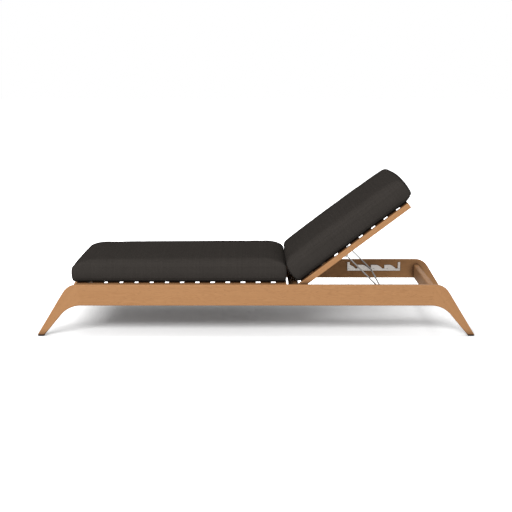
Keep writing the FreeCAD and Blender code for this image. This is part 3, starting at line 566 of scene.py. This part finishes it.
def cushion_grid(form, shape, steps=14):
    """A closed cushion from x = 0 to length, centred across, and the two lines along which its seams run.

    The first parameter runs round the outline. The second runs from the base's edge over an elliptical lower
    edge, up the side with a belly of half a sine, over an elliptical upper edge, and in to the middle. Then
    settle gives it its final heights.
    """
    length, width, height, _, foot, head = form
    quarter = np.linspace(0, QUARTER_TURN, steps)
    side = np.linspace(0, 1, 8)[1:-1]
    none = np.zeros_like(side)
    low = np.concatenate([1 - np.sin(quarter), none, np.zeros_like(quarter)])[:, None]
    high = np.concatenate([np.zeros_like(quarter), none, 1 - np.cos(quarter)])[:, None]
    still = np.zeros_like(quarter)
    bulge = shape.belly * np.concatenate([still, np.sin(math.pi * side), still])[:, None]
    straight = height - shape.top_drop - shape.base_rise
    up = np.concatenate([shape.base_rise * (1 - np.cos(quarter)), shape.base_rise + side * straight,
                         height - shape.top_drop * (1 - np.sin(quarter))])[:, None]
    x0 = foot.base * low + foot.top * high - bulge
    x1 = length - head.base * low - head.top * high + bulge
    half = width / 2 - shape.base_reach * low - shape.top_reach * high + bulge
    corner0 = foot.corner * (1 - 0.5 * (low + high))
    corner1 = head.corner * (1 - 0.5 * (low + high))
    x, y = ring(x0, x1, half, corner0, corner1)
    z = np.repeat(up, x.shape[1], axis=1)
    low_seam = round(steps * 0.7) - 1
    seams = [np.stack([x[row], y[row], z[row]], axis=-1) for row in (low_seam, -1 - low_seam)]
    shrink = np.linspace(0, 1, 24)[:, None]
    middle = length / 2
    base_x = middle + (x[0] - middle) * shrink
    base_y = y[0] * shrink
    top_x = middle + (x[-1] - middle) * shrink[::-1]
    top_y = y[-1] * shrink[::-1]
    x = np.concatenate([base_x[1:-1], x, top_x[1:-1]])
    y = np.concatenate([base_y[1:-1], y, top_y[1:-1]])
    z = np.concatenate([np.zeros_like(base_x[1:-1]), z, np.full_like(top_x[1:-1], height)])
    points = np.stack([x, y, z], axis=-1).reshape(-1, 3)
    points = np.vstack([points, [middle, 0, 0], [middle, 0, height]])
    points = settle(points, form, shape)
    seams = [settle(seam, form, shape) for seam in seams]
    rows, columns = x.shape
    j = np.arange(columns)
    after = (j + 1) % columns
    i = np.arange(rows - 1)[:, None] * columns
    quads = np.stack([i + j, i + after, i + columns + after, i + columns + j], axis=-1).reshape(-1, 4)
    low_fan = np.stack([np.full(columns, rows * columns), after, j], axis=-1)
    last = (rows - 1) * columns
    top_fan = np.stack([np.full(columns, rows * columns + 1), last + j, last + after], axis=-1)
    return points, quads.tolist() + low_fan.tolist() + top_fan.tolist(), seams


def settle(points, form, shape):
    """Gives each end its height, draws the sides in between the corners and raises the crown.

    The heights are scaled in proportion to the place along. u and v are the places along and across, from
    -1 to 1. An end moves out by its bulge times u^6 (1 - v^2), and a side moves in by draw_in times
    (1 - u^4) v^7. The upper half rises by arch times (1 - u^2) and by crown times (1 - u^4)(1 - |v|^3).
    """
    length, width, height, arch, foot, head = form
    u = np.clip(points[:, 0] / (length / 2) - 1, -1, 1)
    v = np.clip(points[:, 1] / (width / 2), -1, 1)
    upper = np.clip(points[:, 2] / height * 2 - 1, 0, 1)
    settled = points.copy()
    settled[:, 0] += np.where(u > 0, head.bulge, -foot.bulge) * u ** 6 * (1 - v ** 2)
    settled[:, 1] -= shape.draw_in * (1 - u ** 4) * v ** 7
    settled[:, 2] *= np.interp(u, [-1, 1], [foot.height, head.height]) / height
    settled[:, 2] += arch * upper * (1 - u ** 2)
    settled[:, 2] += shape.crown * upper * (1 - u ** 4) * (1 - np.abs(v) ** 3)
    return settled


def mesh_object(name, points, faces):
    """A mesh object at the origin."""
    mesh = bpy.data.meshes.new(name)
    mesh.from_pydata(points.tolist(), [], faces)
    mesh.update()
    obj = bpy.data.objects.new(name, mesh)
    bpy.context.scene.collection.objects.link(obj)
    return obj


def mesh_points(mesh):
    """The vertices of a mesh as an array."""
    points = np.empty(len(mesh.vertices) * 3)
    mesh.vertices.foreach_get("co", points)
    return points.reshape(-1, 3)


def set_points(mesh, points):
    """Writes the vertices of a mesh."""
    mesh.vertices.foreach_set("co", points.ravel())
    mesh.update()


def bake_modifiers(obj):
    """Replaces an object's mesh by what its modifiers make of it."""
    graph = bpy.context.evaluated_depsgraph_get()
    made = bpy.data.meshes.new_from_object(obj.evaluated_get(graph))
    old = obj.data
    obj.modifiers.clear()
    obj.data = made
    made.name = obj.name
    bpy.data.meshes.remove(old)


def even_spacing(obj, spacing):
    """Covers the form with an even net of points."""
    even = obj.modifiers.new("Even spacing", "REMESH")
    even.mode = "VOXEL"
    even.voxel_size = spacing
    bake_modifiers(obj)


def blow_up(obj, shape):
    """Lets air pressure fill the cover: a cloth whose points move by the movement limit at most."""
    before = mesh_points(obj.data)
    cloth = obj.modifiers.new("Cover", "CLOTH")
    cloth.settings.quality = 5
    cloth.settings.mass = 0.3
    cloth.settings.tension_stiffness = 25
    cloth.settings.compression_stiffness = 25
    cloth.settings.shear_stiffness = 12
    cloth.settings.bending_stiffness = 0.6
    cloth.settings.use_pressure = True
    cloth.settings.uniform_pressure_force = shape.pressure
    cloth.settings.effector_weights.gravity = 0
    cloth.point_cache.frame_start = 1
    cloth.point_cache.frame_end = shape.frames
    scene = bpy.context.scene
    for number in range(1, shape.frames + 1):
        scene.frame_set(number)
    bake_modifiers(obj)
    scene.frame_set(1)
    move = mesh_points(obj.data) - before
    size = np.linalg.norm(move, axis=1, keepdims=True)
    move *= shape.cap * np.tanh(size / shape.cap) / np.maximum(size, 1e-9)
    set_points(obj.data, before + move)


def sew(obj, seams, fabric):
    """Pulls the cover in along its seams: the depth is a bell curve of the distance along the surface.

    That distance is the way to the nearest point of a seam's line, less the part of it along the normal.
    """
    points = mesh_points(obj.data)
    normals = np.empty(len(obj.data.vertices) * 3)
    obj.data.vertices.foreach_get("normal", normals)
    normals = normals.reshape(-1, 3)
    for seam in seams:
        ahead = np.roll(seam, -1, axis=0)
        line = np.concatenate([seam + (ahead - seam) * step for step in np.linspace(0, 1, 4, endpoint=False)])
        tree = KDTree(len(line))
        for index, place in enumerate(line):
            tree.insert(place, index)
        tree.balance()
        nearest = np.array([tree.find(place)[0] for place in points])
        way = nearest - points
        way -= normals * np.sum(way * normals, axis=1, keepdims=True)
        apart = np.linalg.norm(way, axis=1, keepdims=True)
        points -= normals * fabric.seam_depth * np.exp(-(apart / fabric.seam_width) ** 2)
    set_points(obj.data, points)


def cloth_map(mesh):
    """UV map in metres: each face is laid flat along the axis that it faces most."""
    points = mesh_points(mesh)
    loops = len(mesh.loops)
    corner = np.empty(loops, dtype=np.int32)
    mesh.loops.foreach_get("vertex_index", corner)
    faces = len(mesh.polygons)
    normals = np.empty(faces * 3)
    mesh.polygons.foreach_get("normal", normals)
    totals = np.empty(faces, dtype=np.int32)
    mesh.polygons.foreach_get("loop_total", totals)
    axis = np.repeat(np.argmax(np.abs(normals.reshape(-1, 3)), axis=1), totals)
    place = points[corner]
    u = np.where(axis == 0, place[:, 1], place[:, 0])
    v = np.where(axis == 2, place[:, 1], place[:, 2])
    layer = mesh.uv_layers.new(name="cloth")
    layer.data.foreach_set("uv", np.stack([u, v], axis=-1).ravel())


def make_cushion(node, form, start, base, tilt=False):
    """A finished cushion in place: grid, cloth, seams, UV map and material, with its CAD node hidden."""
    shape = bpy.context.scene.lounger_cushion
    points, faces, seams = cushion_grid(form, shape)
    obj = mesh_object(f"{node}_cover", points, faces)
    even_spacing(obj, shape.voxel)
    blow_up(obj, shape)
    calm = obj.modifiers.new("Calm", "SMOOTH")
    calm.factor = 0.5
    calm.iterations = 4
    finer = obj.modifiers.new("Smooth", "SUBSURF")
    finer.levels = finer.render_levels = 1
    bake_modifiers(obj)
    sew(obj, seams, bpy.context.scene.lounger_fabric)
    points = mesh_points(obj.data)
    points[:, 2] = np.maximum(points[:, 2], 0.0)
    set_points(obj.data, points)
    cloth_map(obj.data)
    points[:, 0] += start
    points[:, 2] += base
    if tilt:
        points = tilted(points)
    set_points(obj.data, points)
    obj.data.polygons.foreach_set("use_smooth", np.ones(len(obj.data.polygons), dtype=bool))
    obj.data.materials.clear()
    obj.data.materials.append(cover_material())
    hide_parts(node)
    return obj


def tilted(points):
    """Points of the flat backrest raised about the hinge to the rest position."""
    dx = points[:, 0] - HINGE[0]
    dz = points[:, 2] - HINGE[2]
    turned = points.copy()
    turned[:, 0] = HINGE[0] + dx * math.cos(REST_TILT) - dz * math.sin(REST_TILT)
    turned[:, 2] = HINGE[2] + dx * math.sin(REST_TILT) + dz * math.cos(REST_TILT)
    return turned


# operators


class LOUNGER_OT_side_frames(Operator):
    """Side rails and splayed legs in timber that follows each piece"""
    bl_idname = "lounger.side_frames"
    bl_label = "Side frames"

    def execute(self, context):
        dress(nodes_named("side_rail"), timber_material("Side rail timber", board=3.0))
        for end, turn in (("head", LEG_SLOPE), ("foot", -LEG_SLOPE)):
            material = timber_material(f"{end.title()} leg timber", turn=(0, -turn, 0), board=11.0)
            dress(nodes_named(f"{end}_leg"), material)
        return {"FINISHED"}


class LOUNGER_OT_cross_rails(Operator):
    """Cross rails with grain across the lounger, and the hidden dowels and loose tenons"""
    bl_idname = "lounger.cross_rails"
    bl_label = "Cross rails"

    def execute(self, context):
        turn = (0, 0, -QUARTER_TURN)
        dress(nodes_named("foot_cross", "middle_cross", "head_cross"),
              timber_material("Cross rail timber", turn=turn, pitch=0.2, start=0.0))
        dress(["cross_rail_tenons"], timber_material("Loose tenon timber", turn=turn, board=5.0))
        dress(["corner_dowels"], timber_material("Dowel timber", board=7.0))
        return {"FINISHED"}


class LOUNGER_OT_seat_panel(Operator):
    """Rails and slats of the seat panel"""
    bl_idname = "lounger.seat_panel"
    bl_label = "Seat panel"

    def execute(self, context):
        slats = nodes_named("seat_slat")
        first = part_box(slats[0])[0][0]
        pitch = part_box(slats[1])[0][0] - first
        dress(nodes_named("seat_rail"), timber_material("Seat rail timber", pitch=0.4, start=-0.2))
        # the grain's Y axis is the lounger's -X after the quarter turn, so the boards count from the head end
        dress(slats, timber_material("Seat slat timber", turn=(0, 0, -QUARTER_TURN), pitch=pitch,
                                     start=-first - pitch / 2 * 0.3))
        return {"FINISHED"}


class LOUNGER_OT_backrest_panel(Operator):
    """Rails and slats of the backrest panel"""
    bl_idname = "lounger.backrest_panel"
    bl_label = "Backrest panel"

    def execute(self, context):
        dress(nodes_named("back_rail"),
              timber_material("Backrest rail timber", turn=(0, REST_TILT, 0), board=17.0))
        dress(nodes_named("back_slat"),
              timber_material("Backrest slat timber", turn=(0, 0, -QUARTER_TURN), pitch=BACK_SLAT_PITCH,
                              start=0.01))
        return {"FINISHED"}


class LOUNGER_OT_racks(Operator):
    """Toothed racks and prop brackets in brushed steel"""
    bl_idname = "lounger.racks"
    bl_label = "Racks and brackets"

    def execute(self, context):
        look = context.scene.lounger_metal
        steel = steel_material("Brushed plate steel", look.steel)
        dress(["rack_left", "rack_right"], steel)
        plate = steel_material("Brushed bracket steel", look.steel, turn=(0, REST_TILT, 0))
        dress(["prop_bracket_left", "prop_bracket_right"], plate)
        return {"FINISHED"}


class LOUNGER_OT_prop_bail(Operator):
    """The bail that props up the backrest, in drawn steel rod"""
    bl_idname = "lounger.prop_bail"
    bl_label = "Prop bail"

    def execute(self, context):
        look = context.scene.lounger_metal
        dress(["prop_leg_left", "prop_leg_right"],
              steel_material("Drawn leg steel", look.rod, turn=(0, -BAIL_SLOPE, 0)))
        dress(["prop_crossbar"], steel_material("Drawn bar steel", look.rod, turn=(0, 0, -QUARTER_TURN)))
        return {"FINISHED"}


class LOUNGER_OT_fasteners(Operator):
    """Screws, bolts, pins, washers, spacers, inserts and bushes"""
    bl_idname = "lounger.fasteners"
    bl_label = "Fasteners"

    def execute(self, context):
        look = context.scene.lounger_metal
        names = nodes_named("seat_panel_s", "rack_screws", "prop_bracket_screws", "prop_pins",
                            "foot_glide_screws", "hinge_bolts", "hinge_washers", "hinge_inserts")
        dress(names, steel_material("Screw steel", look.screw, turn=(0, 0, -QUARTER_TURN)))
        dress(["hinge_bushes"], moulded_material("Bush plastic", look.bush, 0.35))
        return {"FINISHED"}


class LOUNGER_OT_glides(Operator):
    """Dark pads under the feet"""
    bl_idname = "lounger.glides"
    bl_label = "Glides"

    def execute(self, context):
        dress(["foot_glides"], moulded_material("Glide rubber", context.scene.lounger_metal.glide, 0.5))
        return {"FINISHED"}


class LOUNGER_OT_seat_cushion(Operator):
    """The seat cushion, blown up as cloth"""
    bl_idname = "lounger.seat_cushion"
    bl_label = "Seat cushion"

    def execute(self, context):
        form = CushionForm(length=1.0390, width=0.608, height=0.103, arch=0.0,
                           foot=CushionEnd(0.004, 0.110, 0.018, 0.1010, 0.005),
                           head=CushionEnd(0.010, 0.105, 0.012, 0.1080, 0.002))
        cover = make_cushion("seat_cushion", form, start=-0.8885, base=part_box("seat_cushion")[0][2])
        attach(cover, "frame")
        return {"FINISHED"}


class LOUNGER_OT_back_cushion(Operator):
    """The back cushion, blown up as cloth and laid on the raised backrest"""
    bl_idname = "lounger.back_cushion"
    bl_label = "Back cushion"

    def execute(self, context):
        lower = HINGE[0] - 0.003
        form = CushionForm(length=0.6945, width=0.608, height=0.113, arch=0.005,
                           foot=CushionEnd(0.008, 0.026, 0.016, 0.1155, 0.006),
                           head=CushionEnd(0.128, 0.024, 0.022, 0.1085, 0.014))
        cover = make_cushion("back_cushion", form, start=lower, base=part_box("seat_cushion")[0][2], tilt=True)
        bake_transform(cover)
        return {"FINISHED"}


class LOUNGER_OT_stage(Operator):
    """Camera, white floor and soft studio light"""
    bl_idname = "lounger.stage"
    bl_label = "Stage"

    def execute(self, context):
        look = context.scene.lounger_stage
        add_camera(look)
        add_floor(look)
        add_light(look)
        context.scene.view_settings.view_transform = "Standard"
        return {"FINISHED"}


def add_camera(look):
    """A level camera in front of the lounger's left side that looks down a little."""
    data = bpy.data.cameras.new("Camera")
    data.lens = look.lens
    data.sensor_width = 36.0
    camera = bpy.data.objects.new("Camera", data)
    camera.location = (0.0, -look.distance, look.height)
    camera.rotation_euler = (QUARTER_TURN - look.pitch, 0.0, 0.0)
    bpy.context.scene.collection.objects.link(camera)
    bpy.context.scene.camera = camera


def add_floor(look):
    """A flat white floor, brighter for the camera and in reflections than for the light it gives back.

    Its white grows with the distance from a box as large as the lounger, less an inset at the ends that is
    smaller on the near side. That rise is painted light: it keeps the far floor white and lifts the shade
    that falls outside the box.
    """
    half = look.floor_size / 2
    points = np.array([[-half, -half, 0], [half, -half, 0], [half, half, 0], [-half, half, 0]])
    floor = mesh_object("studio_floor", points, [[0, 1, 2, 3]])
    material, tree, shader = new_material("Studio white", roughness=1.0, specular_ior_level=0.0)
    path = tree.add("ShaderNodeLightPath").outputs
    seen = tree.math("MAXIMUM", path["Is Camera Ray"], path["Is Transmission Ray"])
    where = tree.add("ShaderNodeTexCoord").outputs["Object"]
    corner = tree.vector("ABSOLUTE", where)
    near = tree.ramp(tree.parts(where)[1], -0.05, -0.25)
    limit = tree.math("MULTIPLY_ADD", near, FLOOR_NEAR_SHIFT, CAD_BOX[1][0] - FLOOR_INSET)
    outside = tree.vector("SUBTRACT", corner, tree.join(limit, CAD_BOX[1][1], 0.0))
    outside = tree.vector("LENGTH", tree.vector("MAXIMUM", outside, (0.0, 0.0, 0.0)))
    # painted light: past the box the white rises and lifts the shade that falls there
    white = tree.add("ShaderNodeMapRange", {"Value": outside, "From Min": 0.0, "From Max": FLOOR_FADE,
                                            "To Min": look.floor_white, "To Max": look.floor_far}).outputs[0]
    white = tree.join(white, white, white)
    level = tree.blend(path["Is Glossy Ray"], (look.floor_bounce,) * 3, (1.0, 1.0, 1.0))
    tree.put(shader.inputs["Base Color"], tree.blend(seen, level, white))
    floor.data.materials.append(material)


def add_light(look):
    """Even light from the world, a large soft lamp above the camera and a small one overhead."""
    world = bpy.data.worlds.new("Studio")
    bpy.context.scene.world = world
    world.use_nodes = True
    tree = Tree(world.node_tree)
    sky = world.node_tree.nodes["Background"]
    path = tree.add("ShaderNodeLightPath").outputs
    seen = tree.math("MAXIMUM", path["Is Camera Ray"], path["Is Glossy Ray"])
    seen = tree.math("MAXIMUM", seen, path["Is Transmission Ray"])
    strength = tree.add("ShaderNodeMix", {0: seen, 2: look.sky, 3: 1.0}, data_type="FLOAT").outputs[0]
    tree.put(sky.inputs["Color"], (1.0, 1.0, 1.0))
    tree.put(sky.inputs["Strength"], strength)
    add_lamp("Front lamp", (7.5, 3.2), look.front, (-2.4, -8.05, 5.5),
             (math.radians(58.2), 0.0, math.radians(-16.3)))
    add_lamp("Top lamp", (3.0, 1.5), look.top, (-0.2, 0.3, 4.2))


def add_lamp(name, size, power, place, turn=(0.0, 0.0, 0.0)):
    """A rectangular lamp that shines along its own -Z."""
    data = bpy.data.lights.new(name, "AREA")
    data.shape = "RECTANGLE"
    data.size, data.size_y = size
    data.energy = power
    lamp = bpy.data.objects.new(name, data)
    lamp.location = place
    lamp.rotation_euler = turn
    bpy.context.scene.collection.objects.link(lamp)


class LOUNGER_PT_pieces(Panel):
    """The lounger's pieces and settings"""
    bl_idname = "LOUNGER_PT_pieces"
    bl_label = "Sun lounger"
    bl_space_type = "VIEW_3D"
    bl_region_type = "UI"
    bl_category = "Lounger"

    def draw(self, context):
        for maker in OPERATORS:
            self.layout.operator(maker.bl_idname)
        for name, kind in SETTINGS.items():
            column = self.layout.box().column()
            column.label(text=kind.__doc__)
            for entry in kind.__annotations__:
                column.prop(getattr(context.scene, name), entry)


OPERATORS = (
    LOUNGER_OT_stage, LOUNGER_OT_side_frames, LOUNGER_OT_cross_rails, LOUNGER_OT_seat_panel,
    LOUNGER_OT_backrest_panel, LOUNGER_OT_racks, LOUNGER_OT_prop_bail, LOUNGER_OT_fasteners,
    LOUNGER_OT_glides, LOUNGER_OT_seat_cushion, LOUNGER_OT_back_cushion,
)
SETTINGS = {
    "lounger_timber": LoungerTimber,
    "lounger_fabric": LoungerFabric,
    "lounger_cushion": LoungerCushion,
    "lounger_metal": LoungerMetal,
    "lounger_stage": LoungerStage,
}


def register():
    for kind in tuple(SETTINGS.values()) + OPERATORS + (LOUNGER_PT_pieces,):
        bpy.utils.register_class(kind)
    for name, kind in SETTINGS.items():
        setattr(bpy.types.Scene, name, PointerProperty(type=kind))


def unregister():
    for name in SETTINGS:
        delattr(bpy.types.Scene, name)
    for kind in reversed(tuple(SETTINGS.values()) + OPERATORS + (LOUNGER_PT_pieces,)):
        bpy.utils.unregister_class(kind)


def main():
    """Builds every piece in order."""
    register()
    for maker in OPERATORS:
        family, action = maker.bl_idname.split(".")
        getattr(getattr(bpy.ops, family), action)()


if __name__ == "__main__":
    main()
